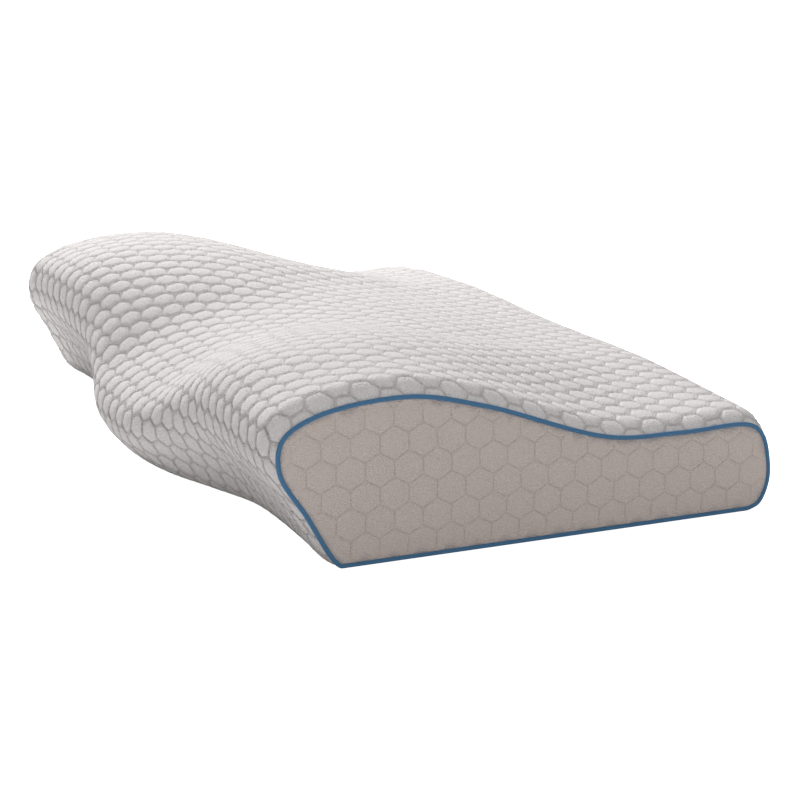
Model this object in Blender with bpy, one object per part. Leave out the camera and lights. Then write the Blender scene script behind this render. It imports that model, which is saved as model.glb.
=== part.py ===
"""A contoured cervical pillow: a filled knit cover with two end panels and two piping loops.

X runs along the pillow, Y from the neck side (-Y) to the back, and Z up. The origin is on the
floor under the middle. The cover is a loft through the cross sections in SECTIONS.
"""

from collections import namedtuple
from math import pi, sqrt

import bmesh
import bpy
import numpy as np

MM = 0.001

# Driving sizes, in millimetres
HALF_LENGTH = 303.0        # middle of the pillow to the seam of an end panel
END_SPLAY = 4.0            # how much further out the seam lies at the back than at mid width
SPLAY_WIDTH = 165.0        # half of the width over which the splay is measured
WIDTH_MIDDLE = -29.8       # the section table's y at the middle of the overall width
FAR_RISE = 0.02            # in front the left end stands this share higher, and the right end lower
FAR_SINK = 0.015           # at the back it is the other way round, by this share
SINK_START = -100.0        # y where the one begins to pass into the other
SINK_WIDTH = 180.0         # and the width over which it does
FAR_FOOT = 8.5             # the left end's foot stands this much further forward
FOOT_REACH = 170.0         # over this width in front of the middle
FOOT_RISE = 90.0           # and up to this height
ROUND_START = 284.0        # the right end rounds down to the seam from here
SEAM_DROP = 0.07           # the seam lies this share lower than the last section
SEAM_DRAW = 0.02           # and this share further in
FAR_ROUND_START = 240.0    # the left end rounds down from here
FAR_DROP = 0.085           # its seam lies this share lower at the front wall
FAR_DROP_BEHIND = 0.015    # and this much more than that further back
FAR_DROP_START = -215.0    # y of the front wall
FAR_DROP_WIDTH = 200.0     # width over which the one passes into the other
COVER_END = 7.0            # the last full section of the cover stops this far short of the seam
CAP_BACK = 2.4             # the cover's flat end stands this far behind the piping's centre
CAP_INSET = 1.5            # the cover's flat end is drawn in by this much

# Hexagon cells of the knit, in millimetres
CELLS_LONG = 34            # cells in one row along the pillow
STEPS_OVER = 54            # lattice steps round the front, top and back
STEPS_UNDER = 24           # lattice steps across the flat underside
CELL_RISE = 1.1            # middle of a cell above the section
CELL_SINK = 0.3            # corners of a cell below it
CELL_FLOOR = 9.0           # the cells fade out below this height

# Piping and end panels, in millimetres
PIPING_RADIUS = 1.6
PIPING_INSET = 1.2         # centre of the piping inside the cover's outline
PIPING_POINTS = 96
BEND_PACE = 14.0           # a bend of one radian takes as many points as this length
GAP = 0.3                  # between one piece and the next
FLOOR_GAP = 0.1            # between the piping and the floor
PANEL_RIM = 2.4            # thickness of an end panel at its edge
PANEL_CROWN = 2.8          # how much further it stands out in the middle
PANEL_RINGS = (1.0, 0.93, 0.75, 0.45, 0.2)
PANEL_MIDDLE = 0.42        # height of the crown's middle, as a share of the panel's height
PANEL_EDGE_ANGLE = pi / 4  # a sharper edge than this is shaded hard

# Cross sections, one row for each distance from the middle, in millimetres:
#   foot           front edge of the flat underside
#   wall           foremost point of the front wall
#   lip            where the front wall has turned into the top
#   crest, slope   top of the neck roll and the fall behind it
#   dip, lobe      head hollow and the low roll at the back
#   edge           where the top turns down into the back wall
#   back           hindmost point of the back wall
Section = namedtuple(
    "Section",
    "x foot wall_y wall_z lip_y lip_z crest_y crest_z slope_y slope_z dip_y dip_z "
    "lobe_y lobe_z edge_y edge_z back",
)
SECTIONS = [
    Section(0, -211, -231, 30, -214, 60, -162, 88, -95, 101, -5, 99, 86, 84, 154, 73, 170),
    Section(50, -204, -228, 36, -208, 66, -158, 93, -95, 104, -2, 99, 86, 84, 154, 74, 170),
    Section(100, -187, -216, 54, -199, 88, -148, 110, -84, 114, 6, 98, 86, 84, 154, 75, 170),
    Section(150, -171, -211, 77, -193, 108, -137, 122, -80, 122, 14, 101, 88, 84, 154, 75, 170),
    Section(200, -168, -212, 86, -189, 117, -128, 127, -74, 123, 22, 95, 90, 79, 154, 73, 170),
    Section(250, -169, -214, 88, -188, 116, -122, 126, -68, 118, 30, 83, 92, 74, 153, 71, 169),
    Section(300, -172, -215, 91, -186, 118, -117, 125, -63, 111, 35, 74, 93, 70, 151, 69, 168),
]
STATION_STEP = SECTIONS[1].x - SECTIONS[0].x
LAST_STATION = SECTIONS[-1].x
CURVE_STEPS = 20           # points on each span of a section's curve

# Turns that all the sections share. y is in millimetres from the foot, the wall or the back
Turn = namedtuple("Turn", "y z")
FOOT_TURN = (Turn(14, 0), Turn(3, 0.5), Turn(-3, 6))     # z in millimetres
FRONT_SLOPE = Turn(0.52, 0.46)                           # share of the way to wall_y, and of wall_z
WALL_UNDER = Turn(1.5, 0.85)                             # z as a share of wall_z
WALL_OVER = Turn(0.14, 0.42)                             # shares of the way from wall to lip
BACK_TURN = (Turn(-6, 0.87), Turn(0, 0.56), Turn(0, 0.3), Turn(-7, 0.07), Turn(-18, 0))  # shares of edge_z


def colour(red, green, blue):
    """One sRGB colour, 0 to 255, as the linear RGBA that a shader takes."""
    linear = [
        c / 12.92 if c <= 0.04045 else ((c + 0.055) / 1.055) ** 2.4
        for c in (red / 255, green / 255, blue / 255)
    ]
    return (*linear, 1.0)


def cloth_material(name, base, roughness):
    material = bpy.data.materials.new(name)
    material.use_nodes = True
    shader = material.node_tree.nodes["Principled BSDF"]
    shader.inputs["Base Color"].default_value = base
    shader.inputs["Roughness"].default_value = roughness
    shader.inputs["Metallic"].default_value = 0.0
    return material


def spline_through(points):
    """A centripetal Catmull-Rom curve through the points, as a dense array of points."""
    points = np.array(points, float)
    padded = np.vstack([2 * points[0] - points[1], points, 2 * points[-1] - points[-2]])
    curve = []
    for p0, p1, p2, p3 in zip(padded, padded[1:], padded[2:], padded[3:]):
        spans = ((p0, p1), (p1, p2), (p2, p3))
        knots = np.cumsum([0.0] + [sqrt(np.linalg.norm(end - start)) for start, end in spans])
        for t in np.linspace(knots[1], knots[2], CURVE_STEPS, endpoint=False):
            a1 = blend(p0, p1, knots[0], knots[1], t)
            a2 = blend(p1, p2, knots[1], knots[2], t)
            a3 = blend(p2, p3, knots[2], knots[3], t)
            b1 = blend(a1, a2, knots[0], knots[2], t)
            b2 = blend(a2, a3, knots[1], knots[3], t)
            curve.append(blend(b1, b2, knots[1], knots[2], t))
    curve.append(points[-1])
    return np.array(curve)


def blend(first, second, start, end, t):
    """The point at t on the line that is at first for start and at second for end."""
    return ((end - t) * first + (t - start) * second) / (end - start)


def section_curve(s):
    """The section's outline over the top, from the floor in front to the floor behind."""
    wall_to_lip = s.lip_y - s.wall_y
    rise_to_lip = s.lip_z - s.wall_z
    controls = [
        *((s.foot + turn.y, turn.z) for turn in FOOT_TURN),
        (s.foot + FRONT_SLOPE.y * (s.wall_y - s.foot), FRONT_SLOPE.z * s.wall_z),
        (s.wall_y + WALL_UNDER.y, WALL_UNDER.z * s.wall_z),
        (s.wall_y + WALL_OVER.y * wall_to_lip, s.wall_z + WALL_OVER.z * rise_to_lip),
        (s.lip_y, s.lip_z),
        (s.crest_y, s.crest_z),
        (s.slope_y, s.slope_z),
        (s.dip_y, s.dip_z),
        (s.lobe_y, s.lobe_z),
        (s.edge_y, s.edge_z),
        *((s.back + turn.y, turn.z * s.edge_z) for turn in BACK_TURN),
    ]
    curve = spline_through(controls)
    curve[:, 1] = np.maximum(curve[:, 1], 0)
    return curve


def even_samples(curve, count, shift):
    """Points at even distances along the curve: count steps, each moved on by shift steps."""
    lengths = np.linalg.norm(np.diff(curve, axis=0), axis=1)
    along = np.concatenate([[0], np.cumsum(lengths)])
    places = (np.arange(count) + shift) / count * along[-1]
    return np.stack([np.interp(places, along, curve[:, 0]), np.interp(places, along, curve[:, 1])], 1)


def station_loops(shift):
    """One closed loop of (y, z) points for each section, over the top and back underneath."""
    loops = []
    for section in SECTIONS:
        over = section_curve(section)
        under = np.array([over[-1], over[0]])
        loops.append(
            np.vstack([even_samples(over, STEPS_OVER, shift), even_samples(under, STEPS_UNDER, shift)])
        )
    return np.array(loops)


LOOPS = {shift: station_loops(shift) for shift in (0.0, 0.5)}


def uneven(points, x):
    """(y, z) points with the ends rounded and the filling settled as it is on the left and right."""
    y, z = points.T
    far = np.less(x, 0)
    round_start = np.where(far, FAR_ROUND_START, ROUND_START)
    seam = np.clip((np.abs(x) - round_start) / (LAST_STATION - round_start), 0, 1) ** 2
    behind = np.clip((y - FAR_DROP_START) / FAR_DROP_WIDTH, 0, 1)
    drop = np.where(far, FAR_DROP + FAR_DROP_BEHIND * behind, SEAM_DROP)
    draw = np.where(far, 0, SEAM_DRAW)
    rise = FAR_RISE - (FAR_RISE + FAR_SINK) * np.clip((y - SINK_START) / SINK_WIDTH, 0, 1)
    y = y * (1 - draw * seam)
    z = z * (1 - drop * seam)
    left = np.clip(-x / LAST_STATION, 0, 1)
    low_front = np.clip(-y / FOOT_REACH, 0, 1) * np.clip(1 - z / FOOT_RISE, 0, 1)
    height = np.maximum(z * (1 - rise * x / LAST_STATION), 0)
    return np.stack([y - FAR_FOOT * left * low_front, height], 1)


def loop_at(x, shift):
    """The section's loop at the distance x from the middle, drawn smoothly through the stations."""
    loops = LOOPS[shift]
    place = min(abs(x), LAST_STATION) / STATION_STEP
    k = min(int(place), len(loops) - 2)
    t = place - k
    before = loops[k - 1] if k else loops[1]
    after = loops[k + 2] if k + 2 < len(loops) else 2 * loops[k + 1] - loops[k]
    p0, p1, p2, p3 = before, loops[k], loops[k + 1], after
    cubic = 2 * p1 + (p2 - p0) * t
    cubic = cubic + (2 * p0 - 5 * p1 + 4 * p2 - p3) * t**2
    return uneven(0.5 * (cubic + (3 * p1 - p0 - 3 * p2 + p3) * t**3), x)


def inset(loop, distance):
    """The closed loop moved inwards by the distance."""
    tangent = np.roll(loop, -1, axis=0) - np.roll(loop, 1, axis=0)
    tangent /= np.linalg.norm(tangent, axis=1)[:, None]
    inward = np.stack([tangent[:, 1], -tangent[:, 0]], 1)
    return loop + inward * distance


def in_space(loop, x):
    """The loop's points in metres, on the slightly splayed plane at x."""
    splay = np.sign(x) * END_SPLAY * min(abs(x) / HALF_LENGTH, 1) * loop[:, 0] / SPLAY_WIDTH
    return np.stack([x + splay, loop[:, 0] - WIDTH_MIDDLE, loop[:, 1]], 1) * MM


def add_object(name, mesh, material, collection):
    obj = bpy.data.objects.new(name, mesh)
    mesh.materials.append(material)
    collection.objects.link(obj)
    return obj


def bridge(bm, first, second, forward):
    """Joins two rings whose points are half a step apart. forward says the second is moved on."""
    count = len(first)
    for j in range(count):
        k = (j + 1) % count
        if forward:
            bm.faces.new((first[j], second[j], first[k]))
            bm.faces.new((first[k], second[j], second[k]))
        else:
            bm.faces.new((first[j], second[j], second[k]))
            bm.faces.new((first[j], second[k], first[k]))


def join_level(bm, first, second):
    """Joins two rings whose points lie face to face."""
    count = len(first)
    for j in range(count):
        k = (j + 1) % count
        bm.faces.new((first[j], second[j], second[k], first[k]))


def is_cell_middle(ring, j):
    """Every third lattice point is the middle of a hexagon. Odd rings are half a step on."""
    return j % 3 == (1 if ring % 2 else 0)


def filled_cover(material, collection):
    """The filled cover: rings of a triangular lattice, with the middle of each hexagon raised."""
    bm = bmesh.new()
    ring_count = 2 * CELLS_LONG + 1
    places = np.linspace(-(HALF_LENGTH - COVER_END), HALF_LENGTH - COVER_END, ring_count)
    rings = []
    for ring, x in enumerate(places):
        loop = in_space(loop_at(x, 0.5 * (ring % 2)), x)
        rings.append([bm.verts.new(point) for point in loop])
    for ring in range(ring_count - 1):
        bridge(bm, rings[ring], rings[ring + 1], forward=ring % 2 == 0)
    for ring, side in ((0, -1), (ring_count - 1, 1)):
        outline = inset(loop_at(side * LAST_STATION, 0.0), CAP_INSET)
        cap = [bm.verts.new(p) for p in in_space(outline, side * (HALF_LENGTH - CAP_BACK))]
        join_level(bm, *((rings[ring], cap) if side > 0 else (cap, rings[ring])))
        bm.faces.new(cap if side > 0 else cap[::-1])
    bmesh.ops.recalc_face_normals(bm, faces=bm.faces)
    bm.normal_update()
    raise_cells(rings)
    mesh = bpy.data.meshes.new("filled_cover")
    bm.to_mesh(mesh)
    bm.free()
    mesh.shade_smooth()
    return add_object("filled_cover", mesh, material, collection)


def raise_cells(rings):
    """Moves the lattice points along their normals: cell middles out, cell corners in."""
    moves = []
    for ring, verts in enumerate(rings[1:-1], start=1):
        for j, vert in enumerate(verts):
            if j >= STEPS_OVER:
                continue
            fade = min(vert.co.z / (CELL_FLOOR * MM), 1)
            amount = CELL_RISE if is_cell_middle(ring, j) else -CELL_SINK
            moves.append((vert, vert.normal * (amount * fade * MM)))
    for vert, move in moves:
        vert.co += move


def paced_samples(closed, count):
    """Points round a closed outline, closer together where it bends."""
    edges = np.diff(closed, axis=0)
    lengths = np.linalg.norm(edges, axis=1)
    headings = np.unwrap(np.arctan2(edges[:, 1], edges[:, 0]))
    turns = np.abs(np.diff(headings, append=headings[:1]))
    along = np.concatenate([[0], np.cumsum(lengths + BEND_PACE * np.minimum(turns, 1))])
    places = np.arange(count) / count * along[-1]
    return np.stack([np.interp(places, along, closed[:, 0]), np.interp(places, along, closed[:, 1])], 1)


def piping_route(side):
    """The (y, z) centre line of the piping: the end section's outline, a little drawn in."""
    over = uneven(section_curve(SECTIONS[-1]), side * LAST_STATION)
    under = even_samples(np.array([over[-1], over[0]]), STEPS_UNDER, 0.0)
    outline = np.vstack([over[:-1], under])
    route = inset(outline, PIPING_INSET)
    route[:, 1] = np.maximum(route[:, 1], FLOOR_GAP + PIPING_RADIUS)
    return paced_samples(np.vstack([route, route[:1]]), PIPING_POINTS)


def end_panel(name, side, material, collection):
    """A sewn-in end panel: flat behind, and a little crowned in front."""
    bm = bmesh.new()
    rim = inset(piping_route(side), PIPING_RADIUS + GAP)
    middle = np.array([np.mean(rim[:, 0]), (rim[:, 1].min() + rim[:, 1].max()) * PANEL_MIDDLE])
    back_x = HALF_LENGTH - CAP_BACK + GAP
    back = [bm.verts.new(p) for p in in_space(rim, side * back_x)]
    rings = [back]
    for share in PANEL_RINGS:
        x = back_x + PANEL_RIM + PANEL_CROWN * (1 - share**2)
        rings.append([bm.verts.new(p) for p in in_space(middle + (rim - middle) * share, side * x)])
    for first, second in zip(rings, rings[1:]):
        join_level(bm, first, second)
    bm.faces.new(rings[-1])
    bm.faces.new(back[::-1])
    bmesh.ops.recalc_face_normals(bm, faces=bm.faces)
    mesh = bpy.data.meshes.new(name)
    bm.to_mesh(mesh)
    bm.free()
    mesh.shade_smooth()
    mesh.set_sharp_from_angle(angle=PANEL_EDGE_ANGLE)
    return add_object(name, mesh, material, collection)


def piping(name, side, material, collection):
    """A closed cord along the seam."""
    route = in_space(piping_route(side), side * HALF_LENGTH)
    curve = bpy.data.curves.new(name, "CURVE")
    curve.dimensions = "3D"
    curve.bevel_depth = PIPING_RADIUS * MM
    curve.bevel_resolution = 2
    spline = curve.splines.new("POLY")
    spline.points.add(len(route) - 1)
    for point, place in zip(spline.points, route):
        point.co = (*place, 1.0)
    spline.use_cyclic_u = True
    curve.materials.append(material)
    obj = bpy.data.objects.new(name, curve)
    collection.objects.link(obj)
    return obj


def main():
    for obj in list(bpy.data.objects):
        bpy.data.objects.remove(obj)
    collection = bpy.data.collections.new("cervical_pillow")
    bpy.context.scene.collection.children.link(collection)
    white = cloth_material("white hexagon knit", colour(236, 234, 232), 0.9)
    taupe = cloth_material("taupe hexagon knit", colour(214, 206, 200), 0.9)
    blue = cloth_material("blue piping", colour(74, 124, 166), 0.7)
    filled_cover(white, collection)
    for word, side in (("right", 1), ("left", -1)):
        end_panel(f"end_panel_{word}", side, taupe, collection)
        piping(f"piping_{word}", side, blue, collection)


main()
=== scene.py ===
# %% [markdown]
# # A contoured neck pillow in a hexagon knit
#
# The pillow is one block of foam in a knit cover. The knit is a blister jacquard: two layers of
# fabric are joined along the lines of a honeycomb, and a filling yarn between them puffs up each
# cell. A taupe panel of the same knit closes each end, and a blue piping is sewn into the seam.
#
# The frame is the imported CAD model. Every piece here stands for one of its nodes.

# %% Tools and the frame
from collections import namedtuple
from math import pi, radians, sqrt

import bmesh
import bpy
import numpy as np
from mathutils.geometry import delaunay_2d_cdt
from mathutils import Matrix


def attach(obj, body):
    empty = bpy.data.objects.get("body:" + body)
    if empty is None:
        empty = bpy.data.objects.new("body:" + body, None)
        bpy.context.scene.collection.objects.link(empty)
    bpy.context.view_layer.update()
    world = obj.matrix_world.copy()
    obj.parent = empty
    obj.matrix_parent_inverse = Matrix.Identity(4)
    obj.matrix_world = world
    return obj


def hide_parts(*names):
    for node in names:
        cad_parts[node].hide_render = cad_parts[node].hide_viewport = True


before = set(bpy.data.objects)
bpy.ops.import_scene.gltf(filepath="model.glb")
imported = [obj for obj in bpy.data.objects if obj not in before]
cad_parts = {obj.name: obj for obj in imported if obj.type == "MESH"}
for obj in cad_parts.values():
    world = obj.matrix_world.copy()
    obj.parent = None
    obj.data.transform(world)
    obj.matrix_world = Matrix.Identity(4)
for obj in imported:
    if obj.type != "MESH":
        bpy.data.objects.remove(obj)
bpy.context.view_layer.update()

MM = 0.001

# %% [markdown]
# ## The form of the filled cover
#
# The foam is cut in a cross section that changes along the pillow: a neck roll that is low in the
# middle and rises into two high wings, a hollow for the head, and a low roll at the back. The
# table is the one that the solids were lofted from, so the cloth fits them with nothing to adjust.

# %% The section table, in millimetres
#   foot           front edge of the flat underside
#   wall           foremost point of the front wall
#   lip            where the front wall has turned into the top
#   crest, slope   top of the neck roll and the fall behind it
#   dip, lobe      head hollow and the low roll at the back
#   edge           where the top turns down into the back wall
#   back           hindmost point of the back wall
HALF_LENGTH = 303.0        # middle of the pillow to the seam of an end panel
END_SPLAY = 4.0            # how much further out the seam lies at the back than at mid width
SPLAY_WIDTH = 165.0        # half of the width over which the splay is measured
WIDTH_MIDDLE = -29.8       # the section table's y at the middle of the overall width
FAR_RISE = 0.02            # in front the left end stands this share higher, and the right end lower
FAR_SINK = 0.015           # at the back it is the other way round, by this share
SINK_START = -100.0        # y where the one begins to pass into the other
SINK_WIDTH = 180.0         # and the width over which it does
FAR_FOOT = 8.5             # the left end's foot stands this much further forward
FOOT_REACH = 170.0         # over this width in front of the middle
FOOT_RISE = 90.0           # and up to this height
ROUND_START = 284.0        # the right end rounds down to the seam from here
SEAM_DROP = 0.07           # the seam lies this share lower than the last section
SEAM_DRAW = 0.02           # and this share further in
FAR_ROUND_START = 240.0    # the left end rounds down from here
FAR_DROP = 0.085           # its seam lies this share lower at the front wall
FAR_DROP_BEHIND = 0.015    # and this much more than that further back
FAR_DROP_START = -215.0    # y of the front wall
FAR_DROP_WIDTH = 200.0     # width over which the one passes into the other
Section = namedtuple(
    "Section",
    "x foot wall_y wall_z lip_y lip_z crest_y crest_z slope_y slope_z dip_y dip_z "
    "lobe_y lobe_z edge_y edge_z back",
)
SECTIONS = [
    Section(0, -211, -231, 30, -214, 60, -162, 88, -95, 101, -5, 99, 86, 84, 154, 73, 170),
    Section(50, -204, -228, 36, -208, 66, -158, 93, -95, 104, -2, 99, 86, 84, 154, 74, 170),
    Section(100, -187, -216, 54, -199, 88, -148, 110, -84, 114, 6, 98, 86, 84, 154, 75, 170),
    Section(150, -171, -211, 77, -193, 108, -137, 122, -80, 122, 14, 101, 88, 84, 154, 75, 170),
    Section(200, -168, -212, 86, -189, 117, -128, 127, -74, 123, 22, 95, 90, 79, 154, 73, 170),
    Section(250, -169, -214, 88, -188, 116, -122, 126, -68, 118, 30, 83, 92, 74, 153, 71, 169),
    Section(300, -172, -215, 91, -186, 118, -117, 125, -63, 111, 35, 74, 93, 70, 151, 69, 168),
]
STATION_STEP = SECTIONS[1].x - SECTIONS[0].x
LAST_STATION = SECTIONS[-1].x
STEPS_OVER = 54            # lattice steps round the front, top and back
STEPS_UNDER = 24           # lattice steps across the flat underside
STEPS_ROUND = STEPS_OVER + STEPS_UNDER
FINE = 10                  # points that the form keeps for each lattice step
Turn = namedtuple("Turn", "y z")
FOOT_TURN = (Turn(14, 0), Turn(3, 0.5), Turn(-3, 6))    # from the foot, in millimetres
FRONT_SLOPE = Turn(0.52, 0.46)     # share of the way from the foot to wall_y, and of wall_z
WALL_UNDER = Turn(1.5, 0.85)       # y in millimetres from wall_y, z as a share of wall_z
WALL_OVER = Turn(0.14, 0.42)       # shares of the way from the wall to the lip
# From the back: y in millimetres, z as a share of edge_z.
BACK_TURN = (Turn(-6, 0.87), Turn(0, 0.56), Turn(0, 0.3), Turn(-7, 0.07), Turn(-18, 0))


# %% Curves through the table
def blend(first, second, start, end, t):
    """The point at t on the line that is at first for start and at second for end."""
    return ((end - t) * first + (t - start) * second) / (end - start)


def spline_through(points, steps=20):
    """A centripetal Catmull-Rom curve through the points, as a dense array of points."""
    points = np.array(points, float)
    padded = np.vstack([2 * points[0] - points[1], points, 2 * points[-1] - points[-2]])
    curve = []
    for p0, p1, p2, p3 in zip(padded, padded[1:], padded[2:], padded[3:]):
        spans = ((p0, p1), (p1, p2), (p2, p3))
        knots = np.cumsum([0.0] + [sqrt(np.linalg.norm(end - start)) for start, end in spans])
        for t in np.linspace(knots[1], knots[2], steps, endpoint=False):
            a1 = blend(p0, p1, knots[0], knots[1], t)
            a2 = blend(p1, p2, knots[1], knots[2], t)
            a3 = blend(p2, p3, knots[2], knots[3], t)
            b1 = blend(a1, a2, knots[0], knots[2], t)
            b2 = blend(a2, a3, knots[1], knots[3], t)
            curve.append(blend(b1, b2, knots[1], knots[2], t))
    curve.append(points[-1])
    return np.array(curve)


def section_curve(s):
    """The section's outline over the top, from the floor in front to the floor behind."""
    controls = [
        *((s.foot + turn.y, turn.z) for turn in FOOT_TURN),
        (s.foot + FRONT_SLOPE.y * (s.wall_y - s.foot), FRONT_SLOPE.z * s.wall_z),
        (s.wall_y + WALL_UNDER.y, WALL_UNDER.z * s.wall_z),
        (
            s.wall_y + WALL_OVER.y * (s.lip_y - s.wall_y),
            s.wall_z + WALL_OVER.z * (s.lip_z - s.wall_z),
        ),
        (s.lip_y, s.lip_z),
        (s.crest_y, s.crest_z),
        (s.slope_y, s.slope_z),
        (s.dip_y, s.dip_z),
        (s.lobe_y, s.lobe_z),
        (s.edge_y, s.edge_z),
        *((s.back + turn.y, turn.z * s.edge_z) for turn in BACK_TURN),
    ]
    curve = spline_through(controls)
    curve[:, 1] = np.maximum(curve[:, 1], 0)
    return curve


def even_samples(curve, count):
    """count points at even distances along the curve, without its last point."""
    along = np.concatenate([[0], np.cumsum(np.linalg.norm(np.diff(curve, axis=0), axis=1))])
    places = np.arange(count) / count * along[-1]
    return np.stack([np.interp(places, along, column) for column in curve.T], 1)


# %% The form, as a function of the place on the cloth
def station_loop(section):
    """One closed loop of (y, z) points, over the top and back underneath."""
    over = section_curve(section)
    under = np.array([over[-1], over[0]])
    return np.vstack(
        [even_samples(over, STEPS_OVER * FINE), even_samples(under, STEPS_UNDER * FINE), over[:1]]
    )


loops = np.array([station_loop(section) for section in SECTIONS])
# One more loop before the middle and one past the end, for the cubic between four of them.
LOOPS = np.concatenate([loops[1:2], loops, 2 * loops[-1:] - loops[-2:-1]])


def uneven(points, x):
    """(y, z) points with the ends rounded and the filling settled as it is on the left and right."""
    y, z = points.T
    far = np.less(x, 0)
    round_start = np.where(far, FAR_ROUND_START, ROUND_START)
    seam = np.clip((np.abs(x) - round_start) / (LAST_STATION - round_start), 0, 1) ** 2
    behind = np.clip((y - FAR_DROP_START) / FAR_DROP_WIDTH, 0, 1)
    drop = np.where(far, FAR_DROP + FAR_DROP_BEHIND * behind, SEAM_DROP)
    draw = np.where(far, 0, SEAM_DRAW)
    rise = FAR_RISE - (FAR_RISE + FAR_SINK) * np.clip((y - SINK_START) / SINK_WIDTH, 0, 1)
    y = y * (1 - draw * seam)
    z = z * (1 - drop * seam)
    left = np.clip(-x / LAST_STATION, 0, 1)
    low_front = np.clip(-y / FOOT_REACH, 0, 1) * np.clip(1 - z / FOOT_RISE, 0, 1)
    height = np.maximum(z * (1 - rise * x / LAST_STATION), 0)
    return np.stack([y - FAR_FOOT * left * low_front, height], 1)


def section_points(x, v):
    """The form's (y, z) in millimetres, at x along the pillow and v lattice steps round it."""
    place = np.minimum(np.abs(x), LAST_STATION) / STATION_STEP
    k = np.minimum(place.astype(int), len(SECTIONS) - 2)
    t = (place - k)[:, None]
    step = (v % STEPS_ROUND) * FINE
    low = np.minimum(step.astype(int), STEPS_ROUND * FINE - 1)
    share = (step - low)[:, None]
    p0, p1, p2, p3 = (
        LOOPS[k + i, low] * (1 - share) + LOOPS[k + i, low + 1] * share for i in range(4)
    )
    cubic = 2 * p1 + (p2 - p0) * t + (2 * p0 - 5 * p1 + 4 * p2 - p3) * t**2
    return uneven(0.5 * (cubic + (3 * p1 - p0 - 3 * p2 + p3) * t**3), x)


SIDE_STEP = 0.2            # lattice steps to either side, over which a direction is taken
TINY = 1e-9                # stands in for nothing where a division needs more than that


def inward(x, v):
    """Directions into the filling, square to the section."""
    tangent = section_points(x, v + SIDE_STEP) - section_points(x, v - SIDE_STEP)
    tangent /= np.maximum(np.linalg.norm(tangent, axis=1), TINY)[:, None]
    return np.stack([tangent[:, 1], -tangent[:, 0]], 1)


def in_space(x, yz):
    """Points in metres, on the slightly splayed plane at x."""
    splay = np.sign(x) * END_SPLAY * np.minimum(np.abs(x) / HALF_LENGTH, 1) * yz[:, 0] / SPLAY_WIDTH
    return np.stack([x + splay, yz[:, 0] - WIDTH_MIDDLE, yz[:, 1]], 1) * MM


# %% [markdown]
# ## The camera
#
# Its place and lens come from the photograph: the corners of the near end panel, the front edge on
# the floor and the outlines of both ends were paired with the section table, and the camera was
# solved from them. It looks down by about 15 degrees through a lens of about 94 mm.

# %% Camera
camera_data = bpy.data.cameras.new("camera")
camera_data.sensor_width = 36.0
camera_data.lens = 93.645
camera = bpy.data.objects.new("camera", camera_data)
camera.location = (1.4992, -0.6402, 0.4694)
camera.rotation_euler = (radians(74.8), 0.0, radians(65.5))
bpy.context.scene.collection.objects.link(camera)
bpy.context.scene.camera = camera


# %% [markdown]
# ## Node trees
#
# Materials and Geometry Nodes trees are both built from nodes. One small function adds a node,
# sets it up and links it, so that each line of a tree reads like one box in the node editor.

# %% One node
def add_node(tree, kind, inputs=None, **settings):
    """Adds a node. inputs gives each named or numbered socket a value, another socket, or a node.

    A node stands for its first output. The rest of what is given sets the node up.
    """
    node = tree.nodes.new(kind)
    for name, value in settings.items():
        setattr(node, name, value)
    for key, value in (inputs or {}).items():
        if isinstance(value, bpy.types.Node):
            value = value.outputs[0]
        if isinstance(value, bpy.types.NodeSocket):
            tree.links.new(value, node.inputs[key])
        else:
            node.inputs[key].default_value = value
    return node


def linear(hex_colour):
    """An sRGB colour such as "#3F6E92" as the linear RGBA that a shader takes."""
    channels = [int(hex_colour[i : i + 2], 16) / 255 for i in (1, 3, 5)]
    return (*((c / 12.92 if c <= 0.04045 else ((c + 0.055) / 1.055) ** 2.4) for c in channels), 1.0)


# %% [markdown]
# ## The honeycomb
#
# The cells are regular hexagons, 17.4 mm from side to side. Each is a puffed blister, and a
# narrow channel with a thin ridge along its middle parts it from the next. This could be a
# displacement of an even grid, which takes very many faces to show a sharp line. A mesh that
# follows the cells shows it with few, because its edges run along the lines. So one cell is drawn
# as rings of points, and the rings are repeated over the flat cloth.

# %% One cell of the knit
CELLS_LONG = 34
COVER_END = 7.0                                # the last full ring of cells stops this far short
PITCH = 2 * (HALF_LENGTH - COVER_END) / CELLS_LONG
SIDE_SPLITS = (0.0, 0.27, 0.73)                # points on each side, closer together at its corners
RING_POINTS = 6 * len(SIDE_SPLITS)
TOP_RINGS = (1.0, 0.95, 0.88, 0.58)            # rings of a cell that shows, as shares of its size
UNDER_RINGS = (1.0, 0.88)                      # rings of a cell on the underside
BLISTER_POWER = 18.0                           # rounds the blister's corners; higher is squarer
ROW_HEIGHT = sqrt(0.75)                        # from one row of cells to the next, in pitches
# Directions across the three pairs of sides.
NORMALS = np.array([(1.0, 0.0), (0.5, ROW_HEIGHT), (-0.5, ROW_HEIGHT)])


def cell_share(across):
    """0 at a cell's middle and 1 at the middle of a side, for places in pitches from the middle."""
    reach = np.abs(across @ NORMALS.T) * 2
    return (reach**BLISTER_POWER).sum(axis=1) ** (1 / BLISTER_POWER)


def cell_points(rings):
    """The points of one cell in pitches: its rings from the outside in, and its middle."""
    angles = radians(30) + np.arange(7) * radians(60)
    corners = np.stack([np.cos(angles), np.sin(angles)], 1) / sqrt(3)
    rim = np.array([a + (b - a) * f for a, b in zip(corners, corners[1:]) for f in SIDE_SPLITS])
    round_rim = rim / cell_share(rim)[:, None]
    return np.vstack([rim] + [round_rim * share for share in rings[1:]] + [[(0.0, 0.0)]])


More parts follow.
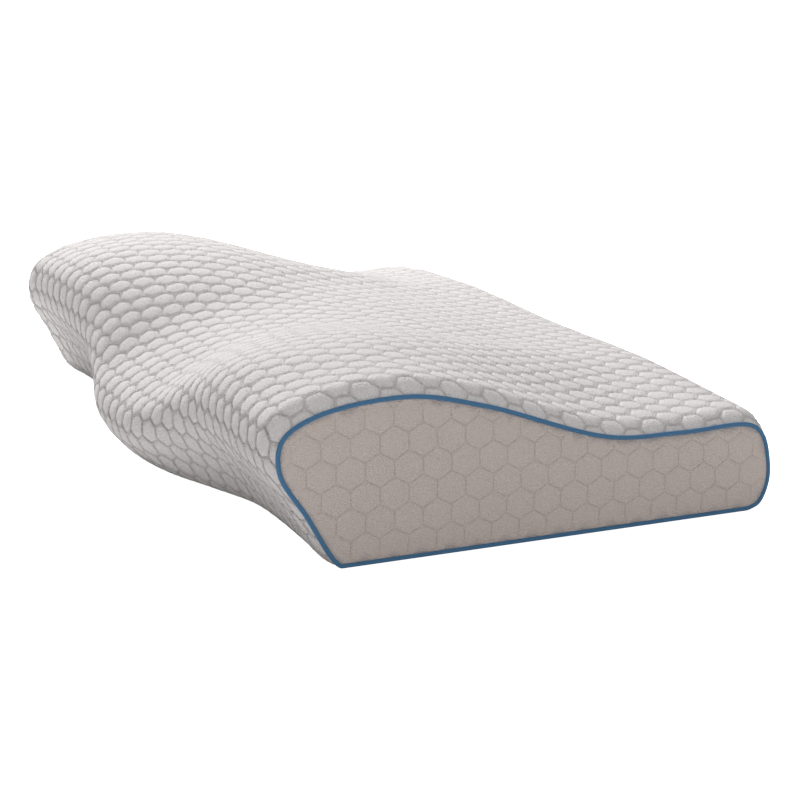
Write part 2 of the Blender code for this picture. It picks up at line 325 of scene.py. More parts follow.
def cell_faces(rings):
    """The faces of one cell, as indexes of its points."""
    faces = []
    for ring in range(len(rings) - 1):
        for j in range(RING_POINTS):
            k = (j + 1) % RING_POINTS
            a = ring * RING_POINTS
            faces.append((a + j, a + k, a + RING_POINTS + k, a + RING_POINTS + j))
    last, middle = (len(rings) - 1) * RING_POINTS, len(rings) * RING_POINTS
    return faces, [(last + j, last + (j + 1) % RING_POINTS, middle) for j in range(RING_POINTS)]


print("cell pitch in mm:", round(PITCH, 2), "points of a cell:", len(cell_points(TOP_RINGS)))


# %% [markdown]
# ## The cover's cloth, cut flat
#
# The cloth is laid out flat first: u runs along the pillow in millimetres, and v round it in
# lattice steps. It is cut at both seams, as a maker would cut it, so the cells there are cut
# through as they are on the real pillow. Then each point is put on the form.

# %% Flat cloth
SEAM_U = 303.4             # cloth is cut here, a little past its last visible point
STEP_ACROSS = sqrt(3)      # lattice steps in one pitch, measured round the pillow
ROWS_REPEAT = 3            # lattice steps from a row of cells to the next but one
SAME_PLACE = 0.001         # points of the flat cloth this near are one, in millimetres
ROUNDING = 0.1             # lattice steps that a row's place may be out by


def flat_cells(centres, rings):
    """Points (u, v) and faces of the cells round these middles."""
    cell = cell_points(rings) * (PITCH, STEP_ACROSS)
    quads, tris = cell_faces(rings)
    points = (centres[:, None, :] + cell[None]).reshape(-1, 2)
    starts = np.arange(len(centres))[:, None, None] * len(cell)
    face_sets = [(np.array(faces)[None] + starts).reshape(-1, len(faces[0])) for faces in (quads, tris)]
    return points, face_sets


def cell_middles():
    """The middles (u, v) of all the cells, and whether each shows from above."""
    middles = []
    for ring in range(-1, 2 * CELLS_LONG + 2):
        u = -(HALF_LENGTH - COVER_END) + ring * PITCH / 2
        first = ROWS_REPEAT / 2 if ring % 2 else 0.0
        middles += [(u, v) for v in np.arange(first, STEPS_ROUND, ROWS_REPEAT)]
    middles = np.array(middles)
    return middles, middles[:, 1] <= STEPS_OVER + ROUNDING


middles, shows = cell_middles()
flat_points, flat_faces = [], []
start = 0
for chosen, rings in ((middles[shows], TOP_RINGS), (middles[~shows], UNDER_RINGS)):
    points, face_sets = flat_cells(chosen, rings)
    flat_points.append(points)
    flat_faces += [(faces + start).tolist() for faces in face_sets]
    start += len(points)
flat_points = np.vstack(flat_points)
flat_faces = [face for faces in flat_faces for face in faces]
print("cells:", len(middles), "flat points:", len(flat_points))

# %% Cut at the seams
flat_mesh = bpy.data.meshes.new("flat_cover")
flat_mesh.from_pydata(np.column_stack([flat_points, np.zeros(len(flat_points))]), [], flat_faces)
cut = bmesh.new()
cut.from_mesh(flat_mesh)
bmesh.ops.remove_doubles(cut, verts=cut.verts, dist=SAME_PLACE)
for side in (-1, 1):
    bmesh.ops.bisect_plane(
        cut,
        geom=cut.verts[:] + cut.edges[:] + cut.faces[:],
        dist=SAME_PLACE,
        plane_co=(side * SEAM_U, 0, 0),
        plane_no=(side, 0, 0),
        clear_outer=True,
    )
cut.to_mesh(flat_mesh)
cut.free()
flat = np.empty(len(flat_mesh.vertices) * 3)
flat_mesh.vertices.foreach_get("co", flat)
flat = flat.reshape(-1, 3)[:, :2]

# %% [markdown]
# ## On the form
#
# Near the seam the cloth is drawn in to the piping, and it puckers where the machine has gathered
# it: short ridges that run away from the seam and die out within a cell. At the far end it also
# swells over the piping. A cloth simulation could make this. The cover lies tight on its foam
# though, so a rule for each point comes close to it, and keeps every cell in its place.

# %% From the flat cloth to the form
DRAW_START = 296.0         # the cloth begins to turn in to the seam here
DRAW_END = 301.6           # the cloth's last place along the pillow
DRAW_IN = 2.4              # how far a full quarter round would take it in there
DRAW_TURN = 0.98           # how near the turn comes to that; 1 is the full quarter round
PUCKER = 0.6               # height of the puckers at the seam
PUCKER_REACH = 8.0         # they die out over this length
UNDER_FADE = 9.0           # the blisters fade out below this height
FULL_START = 276.0         # at the far end the cloth stands fuller than the form from here on
FULL_RISE = 1.6            # by this much half way to the seam
# A wave along v, which a slower wave sways to and fro so that its ridges are never even.
Wave = namedtuple("Wave", "height pace sway sway_pace sway_start")
BROAD = Wave(1.0, 4.3, 2.1, 0.77, 0.0)
NARROW = Wave(0.6, 7.9, 1.3, 1.31, 2.0)
DRIFT, DRIFT_PACE = 0.35, 0.9      # sets the broad wave of one end apart from the other's


def ridges(wave, v, shift=0.0):
    """Height of this wave at v, shifted along by some of a turn."""
    sway = wave.sway * np.sin(v * wave.sway_pace + wave.sway_start)
    return wave.height * np.sin(v * wave.pace + sway + shift)


def puckers(u, v):
    """Height of the gathers: uneven ridges along u, strongest at the seam."""
    drift = DRIFT * np.sin(v * DRIFT_PACE + np.sign(u))
    waves = ridges(BROAD, v, drift) + ridges(NARROW, v)
    return PUCKER * waves * np.exp(-np.maximum(SEAM_U - np.abs(u), 0) / PUCKER_REACH)


def on_form(u, v):
    """Where the flat cloth's points lie in space, in metres, and how high above the floor in mm."""
    past = np.clip((np.abs(u) - DRAW_START) / (SEAM_U - DRAW_START), 0, 1)
    turned_x = np.sign(u) * (DRAW_START + past * (DRAW_END - DRAW_START))
    x = np.where(np.abs(u) > DRAW_START, turned_x, u)
    drawn = DRAW_IN * (1 - np.sqrt(1 - DRAW_TURN * past**2))
    yz = section_points(x, v)
    height = yz[:, 1].copy()
    hump = np.sin(pi * np.clip((-u - FULL_START) / (SEAM_U - FULL_START), 0, 1))
    lift = (puckers(u, v) + FULL_RISE * hump) * np.clip(height / UNDER_FADE, 0, 1)
    yz = yz + inward(x, v) * (drawn - lift)[:, None]
    yz[:, 1] = np.maximum(yz[:, 1], 0)
    return in_space(x, yz), height


cover_points, cover_height = on_form(flat[:, 0], flat[:, 1])

# %% [markdown]
# ## Cells and places
#
# The blisters are raised point by point, so each point has to know how near it is to its cell's
# lines, and which cell it is in. Both follow from its place on the flat cloth: the rows of cells
# form two even grids, and the nearer middle of the two is the cell's. The values are kept on the
# mesh by name, and the flat place is kept as its UV map, so that the knit's grain follows the
# cloth.

# %% Which cell a place is in
ROW_NUMBER = 100           # a cell's number is this times its row, plus twice its column


def nearest_cell(a, b):
    """cell_share and the cell's number, for places in pitches from the middle of some cell."""
    offsets, numbers = [], []
    for shift in (0.0, 0.5):
        row = np.round((b / ROW_HEIGHT - 2 * shift) / 2) * 2 + 2 * shift
        column = np.round(a - shift) + shift
        offsets.append(np.stack([a - column, b - row * ROW_HEIGHT], 1))
        numbers.append((row * ROW_NUMBER + column * 2).astype(int))
    second = (offsets[1] ** 2).sum(axis=1) < (offsets[0] ** 2).sum(axis=1)
    offset = np.where(second[:, None], offsets[1], offsets[0])
    return cell_share(offset), np.where(second, numbers[1], numbers[0])


shares, cell_numbers = nearest_cell(flat[:, 0] / PITCH + CELLS_LONG / 2, flat[:, 1] / STEP_ACROSS)
on_top = np.clip(cover_height / UNDER_FADE, 0, 1)
print("cloth points:", len(flat), "share of a cell, most:", round(float(shares.max()), 3))


# %% Named values on a mesh
def give(mesh, name, values, kind="FLOAT"):
    """Stores one value for each point under a name that a node tree can read."""
    mesh.attributes.new(name, kind, "POINT").data.foreach_set("value", values)


def give_uv(mesh, places):
    """Stores the flat place of each point, in metres, as the mesh's UV map."""
    layer = mesh.uv_layers.new(name="flat_cloth")
    corners = np.empty(len(mesh.loops), int)
    mesh.loops.foreach_get("vertex_index", corners)
    layer.data.foreach_set("uv", (places[corners] * MM).astype(np.float32).ravel())


def add_piece(name, mesh):
    """A new object at the origin, with its place in its mesh."""
    piece = bpy.data.objects.new(name, mesh)
    bpy.context.scene.collection.objects.link(piece)
    return piece


flat_mesh.vertices.foreach_set("co", cover_points.ravel())
give(flat_mesh, "cell_share", shares)
give(flat_mesh, "on_top", on_top)
give(flat_mesh, "cell_number", cell_numbers, "INT")
give_uv(flat_mesh, np.column_stack([flat[:, 0], flat[:, 1] * PITCH / STEP_ACROSS]))

# %% [markdown]
# ## Closing the tube
#
# The cloth is now a tube with a slit along the underside and two open ends. The slit is welded,
# and each end gets a flat wall that lies behind the end panel.

# %% Weld and cap
END_WALL = 300.4           # the flat wall's place along the pillow
WALL_INSET = 5.0           # width of the strip between the tube's edge and the wall
WALL_MIDDLE = (0.02, 0.05)   # y and z of the middle of an end, in metres
WALL_LEAST = 0.02          # no point of the rim is taken to be nearer to it than this, in metres
WELD = 0.00002             # points of the slit this near are one, in metres


def shrink_to_wall(vert, side):
    """Moves a point of the rim inwards, towards the middle of the end."""
    dy, dz = vert.co.y - WALL_MIDDLE[0], vert.co.z - WALL_MIDDLE[1]
    keep = 1 - WALL_INSET * MM / max(sqrt(dy * dy + dz * dz), WALL_LEAST)
    splay = vert.co.x - side * DRAW_END * MM
    vert.co = (side * END_WALL * MM + splay, WALL_MIDDLE[0] + dy * keep, WALL_MIDDLE[1] + dz * keep)


def new_points(made):
    """The points among what an extrusion made."""
    return [item for item in made if isinstance(item, bmesh.types.BMVert)]


def cap(shell, made):
    """Closes the hole whose edge is the free edges among these new ones."""
    rim = [item for item in made if isinstance(item, bmesh.types.BMEdge) and item.is_boundary]
    bmesh.ops.contextual_create(shell, geom=rim)


def close_tube(mesh):
    """Welds the slit and gives both ends a wall."""
    tube = bmesh.new()
    tube.from_mesh(mesh)
    bmesh.ops.remove_doubles(tube, verts=tube.verts, dist=WELD)
    open_edges = [edge for edge in tube.edges if edge.is_boundary]
    for side in (-1, 1):
        rim = [edge for edge in open_edges if edge.verts[0].co.x * side > 0]
        made = bmesh.ops.extrude_edge_only(tube, edges=rim)["geom"]
        for vert in new_points(made):
            shrink_to_wall(vert, side)
        cap(tube, made)
    bmesh.ops.recalc_face_normals(tube, faces=tube.faces)
    tube.to_mesh(mesh)
    tube.free()
    mesh.shade_smooth()


close_tube(flat_mesh)
cover_object = add_piece("cover", flat_mesh)

# %% [markdown]
# ## The blisters
#
# Each cell rises by the same rule, so Geometry Nodes raise them: a curve gives the height over the
# share of the cell, a random value makes no two cells quite alike, and a slow noise gives the
# filling its soft unevenness. On the underside the weight presses the blisters flat, so there only
# the lines are drawn in.

# %% The blister tree
# Height over the share of a cell: nearly flat on top, steep to the line, and a ridge between cells.
BLISTER_PROFILE = (
    (0.0, 1.0), (0.3, 0.98), (0.58, 0.92), (0.75, 0.8), (0.88, 0.55), (0.95, 0.0), (1.0, 0.2),
)
SOFT_SCALE = 17.0          # the filling's unevenness is about 60 mm wide


def tree_input(tree, name, kind, value=None):
    """Adds a named input to the tree, and gives the identifier that a modifier sets it by."""
    socket = tree.interface.new_socket(name, in_out="INPUT", socket_type="NodeSocket" + kind)
    if value is not None:
        socket.default_value = value
    return socket.identifier


def new_tree(name, sizes):
    """A Geometry Nodes tree with one geometry input, these named sizes and a material input."""
    tree = bpy.data.node_groups.new(name, "GeometryNodeTree")
    tree_input(tree, "Geometry", "Geometry")
    tree.interface.new_socket("Geometry", in_out="OUTPUT", socket_type="NodeSocketGeometry")
    keys = {label: tree_input(tree, label, kind, value) for label, (kind, value) in sizes.items()}
    keys["Material"] = tree_input(tree, "Material", "Material")
    return tree, keys, tree.nodes.new("NodeGroupInput").outputs


def finish_tree(tree, geometry, material):
    """Makes real geometry of the result, with the material on it, because the export drops instances."""
    real = add_node(tree, "GeometryNodeRealizeInstances", {"Geometry": geometry})
    dressed = add_node(tree, "GeometryNodeSetMaterial", {"Geometry": real, "Material": material})
    add_node(tree, "NodeGroupOutput", {0: dressed})


def blister_tree():
    """Raises the blisters where the cloth is free, and sinks the lines where it is pressed flat."""
    sizes = {
        "Rise": ("Float", 0.0015),
        "Line depth": ("Float", 0.0005),
        "Spread of rise": ("Float", 0.18),
        "Softness": ("Float", 0.0008),
        "Seed": ("Int", 7),
    }
    tree, keys, sockets = new_tree("knit blisters", sizes)
    read = "GeometryNodeInputNamedAttribute"
    share = add_node(tree, read, {"Name": "cell_share"}, data_type="FLOAT")
    top = add_node(tree, read, {"Name": "on_top"}, data_type="FLOAT")
    number = add_node(tree, read, {"Name": "cell_number"}, data_type="INT")
    height = add_node(tree, "ShaderNodeFloatCurve", {"Value": share})
    points = height.mapping.curves[0].points
    for _ in BLISTER_PROFILE[2:]:
        points.new(0.5, 0.5)
    for point, place in zip(points, BLISTER_PROFILE):
        point.location = place
    height.mapping.update()
    spread = {0: 1.0, 1: sockets["Spread of rise"]}
    least = add_node(tree, "ShaderNodeMath", spread, operation="SUBTRACT")
    draw = {2: least, 3: 1.0, "ID": number, "Seed": sockets["Seed"]}
    fullness = add_node(tree, "FunctionNodeRandomValue", draw, data_type="FLOAT").outputs[1]
    rise = add_node(tree, "ShaderNodeMath", {0: height, 1: sockets["Rise"]}, operation="MULTIPLY")
    noise = add_node(tree, "ShaderNodeTexNoise", {"Scale": SOFT_SCALE, "Detail": 1.0})
    swing = add_node(tree, "ShaderNodeMath", {0: noise, 1: 0.5}, operation="SUBTRACT")
    soft = add_node(tree, "ShaderNodeMath", {0: swing, 1: sockets["Softness"]}, operation="MULTIPLY")
    cell = {0: rise, 1: fullness, 2: soft}
    puffed = add_node(tree, "ShaderNodeMath", cell, operation="MULTIPLY_ADD")
    above = add_node(tree, "ShaderNodeMath", {0: puffed, 1: top}, operation="MULTIPLY")
    sunk = add_node(tree, "ShaderNodeMath", {0: height, 1: 1.0}, operation="SUBTRACT")
    depth = {0: sunk, 1: sockets["Line depth"]}
    drawn = add_node(tree, "ShaderNodeMath", depth, operation="MULTIPLY")
    hidden = add_node(tree, "ShaderNodeMath", {0: 1.0, 1: top}, operation="SUBTRACT")
    both = {0: drawn, 1: hidden, 2: above}
    move = add_node(tree, "ShaderNodeMath", both, operation="MULTIPLY_ADD")
    normal = add_node(tree, "GeometryNodeInputNormal")
    offset = add_node(tree, "ShaderNodeVectorMath", {0: normal, "Scale": move}, operation="SCALE")
    lift = {"Geometry": sockets["Geometry"], "Offset": offset}
    raised = add_node(tree, "GeometryNodeSetPosition", lift)
    place = add_node(tree, "GeometryNodeInputPosition")
    x, y, z = add_node(tree, "ShaderNodeSeparateXYZ", {0: place}).outputs
    lifted = add_node(tree, "ShaderNodeMath", {0: z, 1: 0.0}, operation="MAXIMUM")
    level = add_node(tree, "ShaderNodeCombineXYZ", {0: x, 1: y, 2: lifted})
    landed = add_node(tree, "GeometryNodeSetPosition", {"Geometry": raised, "Position": level})
    finish_tree(tree, landed, sockets["Material"])
    return tree, keys


blisters, blister_keys = blister_tree()


def run_tree(piece, tree, keys, **values):
    """Runs the tree on the piece and keeps the result as its plain mesh."""
    modifier = piece.modifiers.new(tree.name, "NODES")
    modifier.node_group = tree
    for label, value in values.items():
        modifier[keys[label.replace("_", " ")]] = value
    graph = bpy.context.evaluated_depsgraph_get()
    mesh = bpy.data.meshes.new_from_object(
        piece.evaluated_get(graph), preserve_all_data_layers=True, depsgraph=graph
    )
    if piece.type == "MESH":
        piece.modifiers.remove(modifier)
        piece.data = mesh
        return piece
    name = piece.name
    bpy.data.objects.remove(piece)
    return add_piece(name, mesh)


# %% [markdown]
# ## The cloths
#
# The cover is a white polyester and viscose double knit, matt and a little fuzzy. The end panels
# are the same knit in taupe. The piping is a bias strip of blue woven cloth round a cord.

# %% Knit
KNIT_GRAIN = 0.0013        # metres; a real loop is about 0.8 mm, and is drawn coarser so that it shows
DYE_SCALE = 24.0           # the dye changes slowly, over about 40 mm
LINE_START, LINE_FULL = 0.88, 0.95   # shares of a cell between which the painted shade of the lines fades in
LINE_SHADE = 0.3            # how strong the painted shade in the lines is


def knit_material(name, face, line):
    """Polyester and viscose double knit: quite matt, with a soft sheen where its fibres catch light.

    To the eye it is a fine dotted grain, with painted shade darkening the lines between the blisters.
    """
    material = bpy.data.materials.new(name)
    material.use_nodes = True
    tree = material.node_tree
    shader = tree.nodes["Principled BSDF"]
    shader.inputs["Roughness"].default_value = 0.92
    shader.inputs["Specular IOR Level"].default_value = 0.2
    shader.inputs["Sheen Weight"].default_value = 0.25
    shader.inputs["Sheen Roughness"].default_value = 0.5
    uv = add_node(tree, "ShaderNodeUVMap", uv_map="flat_cloth")
    share = add_node(tree, "ShaderNodeAttribute", attribute_name="cell_share").outputs["Fac"]
    # Painted shade: near the lines between the blisters the colour darkens towards the second colour,
    # for the shadow in these channels.
    edge = {0: share, 1: LINE_START, 2: LINE_FULL, 3: 0.0, 4: LINE_SHADE}
    line_shade = add_node(tree, "ShaderNodeMapRange", edge, interpolation_type="SMOOTHSTEP")
    loops = add_node(tree, "ShaderNodeTexNoise", {"Vector": uv, "Scale": 1 / KNIT_GRAIN, "Detail": 2.0})
    speckle = add_node(tree, "ShaderNodeMapRange", {0: loops, 1: 0.35, 2: 0.65, 3: 0.0, 4: 0.4})
    patch = add_node(tree, "ShaderNodeTexNoise", {"Vector": uv, "Scale": DYE_SCALE, "Detail": 2.0})
    dye = {0: patch, 1: 0.15, 2: speckle}
    uneven_dye = add_node(tree, "ShaderNodeMath", dye, operation="MULTIPLY_ADD")
    shade = add_node(tree, "ShaderNodeMath", {0: line_shade, 1: uneven_dye}, operation="ADD")
    colours = {0: shade, 6: linear(face), 7: linear(line)}
    colour = add_node(tree, "ShaderNodeMix", colours, data_type="RGBA").outputs[2]
    tree.links.new(colour, shader.inputs["Base Color"])
    bump = add_node(tree, "ShaderNodeBump", {"Height": loops, "Distance": 0.001, "Strength": 1.0})
    tree.links.new(bump.outputs[0], shader.inputs["Normal"])
    return material


# Each knit's second colour is the painted shade in the lines between its blisters.
white_knit = knit_material("white blister knit", "#F3EFEE", "#CFC8C6")
taupe_knit = knit_material("taupe blister knit", "#DED1CA", "#CDC0B9")

# %% The cover
cover = run_tree(cover_object, blisters, blister_keys, Material=white_knit)
cover.data.shade_smooth()
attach(cover, "root")
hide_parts("filled_cover")
print("cover:", len(cover.data.vertices), "points")

# %% [markdown]
# ## The piping's route
#
# The cord follows the end section's outline, a little drawn in, and lies on the floor along the
# underside. The panel's edge is the same line, moved in, so the two always meet.

# %% Route
PIPING_RADIUS = 1.6
PIPING_INSET = 1.2         # the cord's centre line lies this far inside the section's outline
FLOOR_GAP = 0.1            # and its underside this far above the floor
ROUTE_POINTS = 480
SIDES = (("right", 1), ("left", -1))


def inset(closed, distance):
    """The closed loop moved inwards by the distance."""
    tangent = np.roll(closed, -1, axis=0) - np.roll(closed, 1, axis=0)
    tangent /= np.linalg.norm(tangent, axis=1)[:, None]
    return closed + np.stack([tangent[:, 1], -tangent[:, 0]], 1) * distance


def seam_route(side, count):
    """The (y, z) centre line of the piping, as evenly spaced points."""
    over = uneven(section_curve(SECTIONS[-1]), side * LAST_STATION)
    under = even_samples(np.array([over[-1], over[0]]), STEPS_UNDER)
    route = inset(np.vstack([over[:-1], under]), PIPING_INSET)
    route[:, 1] = np.maximum(route[:, 1], FLOOR_GAP + PIPING_RADIUS)
    return even_samples(np.vstack([route, route[:1]]), count)


# %% [markdown]
# ## End panels
#
# A panel is a flat piece of the knit, cut to the end's outline and pushed out a little by the
# foam. Its cells lie in rows along the width and are cut through at the seam. Here the outline is
# curved, so the flat cells are cut by a constrained triangulation: it takes the outline and the
# sides of the cells as edges, and keeps what lies inside.

# %% Flat panel
PANEL_PITCH = 20.6         # its cells are a little larger than the cover's
PANEL_RINGS = (1.0, 0.98, 0.955, 0.92)   # close to the line, because the rest is nearly flat
PANEL_LINE = 3.2           # narrows the lines: the power that a place's cell_share is raised to
PANEL_RIM = 2.4            # height of the panel's edge over its flat back
PANEL_CROWN = 2.8          # how much further out its middle stands
PANEL_BACK = HALF_LENGTH - 2.1           # the back's place along the pillow
PANEL_MIDDLE = 0.42        # the crown's middle, as a share of the height
PANEL_TUCK = 1.3           # the panel's edge lies this far inside the piping's centre line
PANEL_ROW_START = (-3.0, 9.0)            # y and z of a cell's middle from the outline's low corner
PANEL_CLEAR = 0.6          # points of the cells keep this far from the outline
PANEL_FADE = 14            # the relief fades in over one part in this many from the rim inwards
TRIANGLES_INSIDE = 1       # the triangulation's kind of result that keeps only what the outline holds
NEAR_ENOUGH = 1e-4         # points this near are one to it, in millimetres


def panel_cells(low, high):
    """Points (y, z) of the cells' rings between two corners, and edges along the cells' sides."""
    cell = cell_points(PANEL_RINGS) * PANEL_PITCH
    points, edges = [], []
    row_height = PANEL_PITCH * ROW_HEIGHT
    rows = int((high[1] - low[1]) / row_height) + 3
    columns = int((high[0] - low[0]) / PANEL_PITCH) + 3
    for row in range(-1, rows):
        for column in range(-1, columns):
            middle = (
                low[0] + PANEL_ROW_START[0] + (column + 0.5 * (row % 2)) * PANEL_PITCH,
                low[1] + PANEL_ROW_START[1] + row * row_height,
            )
            first = len(points)
            edges += [(first + j, first + (j + 1) % RING_POINTS) for j in range(RING_POINTS)]
            points += (cell + middle).tolist()
    return np.array(points), edges


def inside(points, outline):
    """Whether each point is inside the closed outline, by counting crossings."""
    crossings = np.zeros(len(points), int)
    for (y0, z0), (y1, z1) in zip(outline, np.roll(outline, -1, axis=0)):
        spans = (z0 > points[:, 1]) != (z1 > points[:, 1])
        reach = y0 + (points[:, 1] - z0) * (y1 - y0) / (z1 - z0 if z1 != z0 else TINY)
        crossings += spans & (points[:, 0] < reach)
    return crossings % 2 == 1


def flat_panel(rim):
    """Points (y, z) and faces of the panel's cloth, with the cells drawn in."""
    cells, sides = panel_cells(rim.min(axis=0), rim.max(axis=0))
    keep = inside(cells, inset(rim, PANEL_CLEAR))
    number = np.cumsum(keep) - 1 + len(rim)
    edges = [(number[a], number[b]) for a, b in sides if keep[a] and keep[b]]
    edges += [(j, (j + 1) % len(rim)) for j in range(len(rim))]
    points = np.vstack([rim, cells[keep]]).tolist()
    outline = [list(range(len(rim)))]
    points, _, faces, *_ = delaunay_2d_cdt(points, edges, outline, TRIANGLES_INSIDE, NEAR_ENOUGH)
    return np.array([tuple(point) for point in points]), faces


# %% From flat panel to crowned panel
def rim_share(points, rim):
    """0 at the crown's middle and 1 at the rim."""
    middle = np.array([rim[:, 0].mean(), (rim[:, 1].min() + rim[:, 1].max()) * PANEL_MIDDLE])
    angles = np.arctan2(*(rim - middle).T[::-1])
    order = np.argsort(angles)
    reach = np.linalg.norm(rim - middle, axis=1)[order]
    at = np.arctan2(*(points - middle).T[::-1])
    return np.linalg.norm(points - middle, axis=1) / np.interp(at, angles[order], reach, period=2 * pi)


def panel_cells_at(points, low):
    """cell_share, with its lines narrowed, and the cell's number for places on the flat panel."""
    a, b = ((points - low - PANEL_ROW_START) / PANEL_PITCH).T
    share, numbers = nearest_cell(a, b)
    return share**PANEL_LINE, numbers


def close_panel(mesh, side):
    """Gives the cloth an edge and a flat back. Returns half of the area of the result."""
    shell = bmesh.new()
    shell.from_mesh(mesh)
    rim_edges = [edge for edge in shell.edges if edge.is_boundary]
    made = bmesh.ops.extrude_edge_only(shell, edges=rim_edges)["geom"]
    for vert in new_points(made):
        vert.co.x -= side * PANEL_RIM * MM
    cap(shell, made)
    bmesh.ops.recalc_face_normals(shell, faces=shell.faces)
    area = sum(face.calc_area() for face in shell.faces) / 2
    shell.to_mesh(mesh)
    shell.free()
    return area


def end_panel(name, side):
    """The panel, its flat size and its area, in metres."""
    rim = inset(seam_route(side, ROUTE_POINTS // 2), PANEL_TUCK)
    points, faces = flat_panel(rim)
    share = rim_share(points, rim)
    x = side * (PANEL_BACK + PANEL_RIM + PANEL_CROWN * (1 - np.clip(share, 0, 1) ** 2))
    mesh = bpy.data.meshes.new(name)
    mesh.from_pydata(in_space(x, points), [], faces)
    shares, numbers = panel_cells_at(points, rim.min(axis=0))
    give(mesh, "cell_share", shares)
    give(mesh, "cell_number", numbers, "INT")
    give(mesh, "on_top", np.clip((1 - share) * PANEL_FADE, 0, 1))
    give_uv(mesh, points)
    area = close_panel(mesh, side)
    sizes = {"Rise": 0.0005, "Softness": 0.0006, "Line_depth": 0.0}
    panel = run_tree(add_piece(name, mesh), blisters, blister_keys, **sizes, Material=taupe_knit)
    panel.data.shade_smooth()
    size = np.ptp(rim, axis=0) * MM
    return panel, (float(size[0]), float(size[1])), area


# %% Both panels
# The area given here is half of the finished panel's whole surface, with its edge. The cut itself,
# inside the outline, is about 4 % less.
for word, side in SIDES:
    panel, size, area = end_panel(f"panel_{word}", side)
    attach(panel, "root")
    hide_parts(f"end_panel_{word}")
    print(panel.name, "points:", len(panel.data.vertices))
    print("flat size in m:", [round(length, 3) for length in size], "area:", round(area, 4))


# %% [markdown]
# ## Piping
#
# A strip of blue cloth, cut on the bias, wraps a cord. The wrap makes it slightly uneven, and its
# threads run round it at a slant.

# %% Piping cloth
THREAD_SCALE = 260.0       # a thread every 1.2 mm, coarser than the real ones so that they show
BIAS = 0.012               # a thread moves this far along the cord in one turn, in metres
SWELL_SCALE = 190.0        # the wrap's unevenness is about 5 mm long


def piping_material():
    """Woven polyester: a little smoother than the knit, so it keeps a faint satin light along it."""
    material = bpy.data.materials.new("blue bias-cut piping cloth")
    material.use_nodes = True
    tree = material.node_tree
    shader = tree.nodes["Principled BSDF"]
    shader.inputs["Roughness"].default_value = 0.6
    shader.inputs["Specular IOR Level"].default_value = 0.35
    shader.inputs["Sheen Weight"].default_value = 0.15
    along = add_node(tree, "ShaderNodeAttribute", attribute_name="along").outputs["Fac"]
    around = add_node(tree, "ShaderNodeAttribute", attribute_name="around").outputs["Fac"]
    turn = {0: around, 1: BIAS, 2: along}
    wound = add_node(tree, "ShaderNodeMath", turn, operation="MULTIPLY_ADD")
    slant = add_node(tree, "ShaderNodeCombineXYZ", {0: wound, 1: around})
    weave = {"Vector": slant, "Scale": THREAD_SCALE, "Distortion": 0.6}
    threads = add_node(tree, "ShaderNodeTexWave", weave)
    colours = {0: threads, 6: linear("#3A6A90"), 7: linear("#5288B4")}
    colour = add_node(tree, "ShaderNodeMix", colours, data_type="RGBA").outputs[2]
    tree.links.new(colour, shader.inputs["Base Color"])
    bump = add_node(tree, "ShaderNodeBump", {"Height": threads, "Distance": 0.0002, "Strength": 0.5})
    tree.links.new(bump.outputs[0], shader.inputs["Normal"])
    return material


def piping_tree():
    """A round cord along a curve, with how far along and around it each point is."""
    sizes = {"Radius": ("Float", PIPING_RADIUS * MM), "Unevenness": ("Float", 0.07)}
    tree, keys, sockets = new_tree("piping cord", sizes)
    length = add_node(tree, "GeometryNodeSplineParameter").outputs["Length"]
    mark = {"Geometry": sockets["Geometry"], "Name": "along", "Value": length}
    marked = add_node(tree, "GeometryNodeStoreNamedAttribute", mark, data_type="FLOAT")
    noise = add_node(tree, "ShaderNodeTexNoise", {"Scale": SWELL_SCALE, "Detail": 1.0})
    swing = add_node(tree, "ShaderNodeMath", {0: noise, 1: 0.5}, operation="SUBTRACT")
    swell = {0: swing, 1: sockets["Unevenness"], 2: 1.0}
    width = add_node(tree, "ShaderNodeMath", swell, operation="MULTIPLY_ADD")
    sized = add_node(tree, "GeometryNodeSetCurveRadius", {"Curve": marked, "Radius": width})
    round_section = {"Resolution": 14, "Radius": sockets["Radius"]}
    circle = add_node(tree, "GeometryNodeCurvePrimitiveCircle", round_section)
    factor = add_node(tree, "GeometryNodeSplineParameter")
    wrap = {"Geometry": circle, "Name": "around", "Value": factor}
    ring = add_node(tree, "GeometryNodeStoreNamedAttribute", wrap, data_type="FLOAT")
    tube = add_node(tree, "GeometryNodeCurveToMesh", {"Curve": sized, "Profile Curve": ring})
    smooth = add_node(tree, "GeometryNodeSetShadeSmooth", {0: tube})
    finish_tree(tree, smooth, sockets["Material"])
    return tree, keys


# %% Both pipings
blue_cloth = piping_material()
cord_tree, cord_keys = piping_tree()
for word, side in SIDES:
    route = seam_route(side, ROUTE_POINTS)
    places = in_space(np.full(len(route), side * HALF_LENGTH), route)
    curve = bpy.data.curves.new(f"piping_cord_{word}", "CURVE")
    curve.dimensions = "3D"
    spline = curve.splines.new("POLY")
    spline.points.add(len(places) - 1)
    spline.points.foreach_set("co", np.column_stack([places, np.ones(len(places))]).ravel())
    spline.use_cyclic_u = True
    cord = run_tree(add_piece(f"cord_{word}", curve), cord_tree, cord_keys, Material=blue_cloth)
    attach(cord, "root")
    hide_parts(f"piping_{word}")
    print(cord.name, "points:", len(cord.data.vertices))

# %% [markdown]
# ## Floor and light
#
# The photograph is a cut-out on white, with the tops nearly white and the walls that face the
# camera in soft shade. The key light stands at the far end and grazes the tops, which picks out the
# blisters. One overhead and a weak one by the camera soften it. The floor shines white to the
# camera alone, so it lights the pillow only with what falls on it.

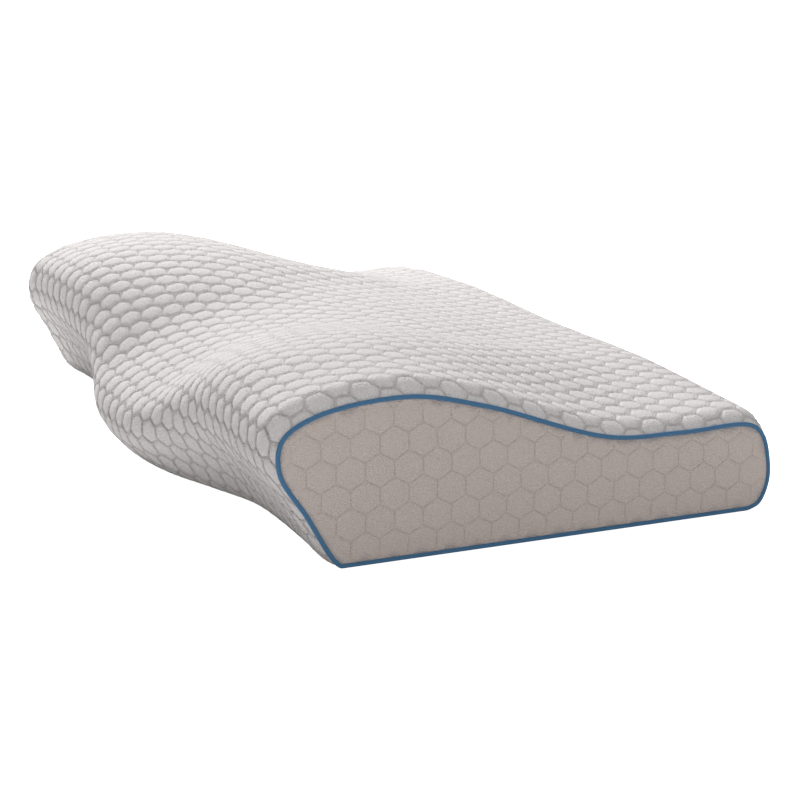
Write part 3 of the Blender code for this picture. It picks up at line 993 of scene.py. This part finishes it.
# %% Floor
FLOOR_HALF = 6.0
FLOOR_BELOW = 0.0004       # the floor lies this far under the pillow, so the two never share a face
corners = [(x * FLOOR_HALF, y * FLOOR_HALF, 0) for x, y in ((-1, -1), (1, -1), (1, 1), (-1, 1))]
floor_mesh = bpy.data.meshes.new("floor")
floor_mesh.from_pydata(corners, [], [(0, 1, 2, 3)])
floor = add_piece("floor", floor_mesh)
floor.location.z = -FLOOR_BELOW
floor_material = bpy.data.materials.new("white sweep")
floor_material.use_nodes = True
floor_shader = floor_material.node_tree.nodes["Principled BSDF"]
floor_shader.inputs["Base Color"].default_value = linear("#FAFAFA")
floor_shader.inputs["Roughness"].default_value = 0.9
floor_shader.inputs["Specular IOR Level"].default_value = 0.0
floor_shader.inputs["Emission Color"].default_value = (1, 1, 1, 1)
seen = add_node(floor_material.node_tree, "ShaderNodeLightPath").outputs["Is Camera Ray"]
floor_material.node_tree.links.new(seen, floor_shader.inputs["Emission Strength"])
floor.data.materials.append(floor_material)

# %% Lights
def softbox(name, place, target, size, power):
    """A round soft light at a place, turned to the target."""
    data = bpy.data.lights.new(name, "AREA")
    data.shape = "DISK"
    data.size = size
    data.energy = power
    light = bpy.data.objects.new(name, data)
    light.location = place
    direction = np.array(target, float) - np.array(place, float)
    light.rotation_euler = (
        float(np.arctan2(np.hypot(direction[0], direction[1]), -direction[2])),
        0.0,
        float(np.arctan2(direction[1], direction[0]) - pi / 2),
    )
    bpy.context.scene.collection.objects.link(light)


softbox("key from the far end", (-2.3, 0.1, 1.6), (0, 0, 0), 1.0, 84)
softbox("overhead", (0.0, 0.0, 2.6), (0, 0, 0), 2.0, 14)
softbox("fill by the camera", (2.0, -0.4, 0.45), (0.2, 0, 0), 1.2, 6)
STUDIO_FILL = 0.25         # what the white surroundings add; the camera itself sees them as white

# %% Surroundings
world = bpy.data.worlds.new("studio")
bpy.context.scene.world = world
world.use_nodes = True
background = world.node_tree.nodes["Background"]
background.inputs["Color"].default_value = (1, 1, 1, 1)
seen = add_node(world.node_tree, "ShaderNodeLightPath").outputs["Is Camera Ray"]
strength = add_node(world.node_tree, "ShaderNodeMix", {0: seen, 2: STUDIO_FILL, 3: 1.0}).outputs[0]
world.node_tree.links.new(strength, background.inputs["Strength"])
bpy.context.scene.view_settings.view_transform = "Standard"
